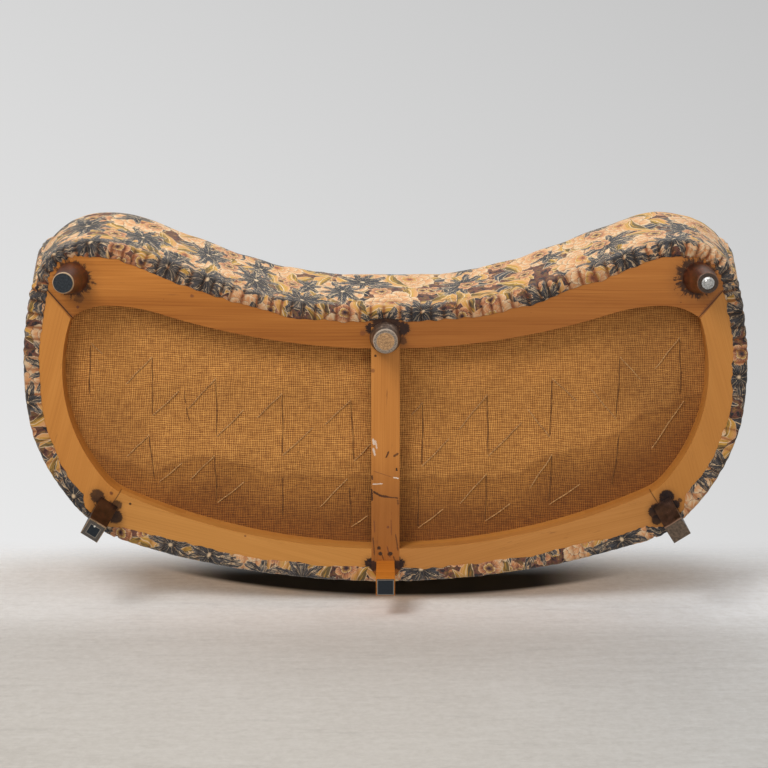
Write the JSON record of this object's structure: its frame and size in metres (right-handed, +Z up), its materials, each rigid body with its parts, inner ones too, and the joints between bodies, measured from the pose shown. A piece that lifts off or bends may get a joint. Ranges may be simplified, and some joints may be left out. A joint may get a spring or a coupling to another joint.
{
  "type": "curved sofa",
  "caption": "Small curved sofa: upholstered seat, wrap-around back and sloping arms on a bent wooden frame with turned front legs and square back legs.",
  "frame": {"origin": "middle of the floor area that the sofa covers, on the floor", "axes": "+X along the sofa from its left arm to its right arm as seen from the front, -Y out of its front, +Z up from the floor the legs stand on"},
  "size_m": [1.8018, 0.937, 0.8004],
  "materials": {
    "rail_wood": "worn satin, honey-coloured softwood",
    "frame_wood": "sawn and planed, unfinished",
    "turned_wood": "worn dark stain",
    "post_wood": "worn brown stain",
    "cover_cloth": "printed floral cotton",
    "base_cloth": "plain-woven hessian",
    "inner_cloth": "plain-woven hessian",
    "webbing": "jute webbing",
    "spring_steel": "drawn wire",
    "glide_steel": "worn plating",
    "glide_pad": "matt",
    "screw_steel": "dulled"
  },
  "bodies": {
    "root": {"arm_facing_left": "cover_cloth", "arm_facing_right": "cover_cloth", "arm_hessian_left": "inner_cloth", "arm_hessian_right": "inner_cloth", "arm_pad_left": "cover_cloth", "arm_pad_right": "cover_cloth", "arm_post_left": "frame_wood", "arm_post_right": "frame_wood", "arm_rail_left": "frame_wood", "arm_rail_right": "frame_wood", "back_hessian": "inner_cloth", "back_pad": "cover_cloth", "back_top_rail": "frame_wood", "back_webbing": "webbing", "base_hessian": "base_cloth", "centre_stretcher": "rail_wood", "front_centre_leg": "turned_wood", "front_hem": "cover_cloth", "front_left_leg": "turned_wood", "front_left_pad": "glide_pad", "front_rail_left": "rail_wood", "front_rail_right": "rail_wood", "front_right_glide": "glide_steel", "front_right_leg": "turned_wood", "outside_arm_left": "cover_cloth", "outside_arm_right": "cover_cloth", "outside_back": "cover_cloth", "rear_centre_pad": "glide_pad", "rear_centre_post": "post_wood", "rear_hem": "cover_cloth", "rear_left_pad": "glide_pad", "rear_left_post": "post_wood", "rear_rail_left": "rail_wood", "rear_rail_right": "rail_wood", "rear_right_post": "post_wood", "seat_front_border": "cover_cloth", "seat_pad": "cover_cloth", "seat_springs": "spring_steel", "seat_webbing_cross": "webbing", "seat_webbing_long": "webbing", "side_hem_left": "cover_cloth", "side_hem_right": "cover_cloth", "side_rail_left": "rail_wood", "side_rail_right": "rail_wood", "spring_hessian": "inner_cloth", "stretcher_screws": "screw_steel", "upper_front_rail": "rail_wood", "upper_rear_rail": "rail_wood", "upper_side_rail_left": "rail_wood", "upper_side_rail_right": "rail_wood"}
  },
  "joints": []
}
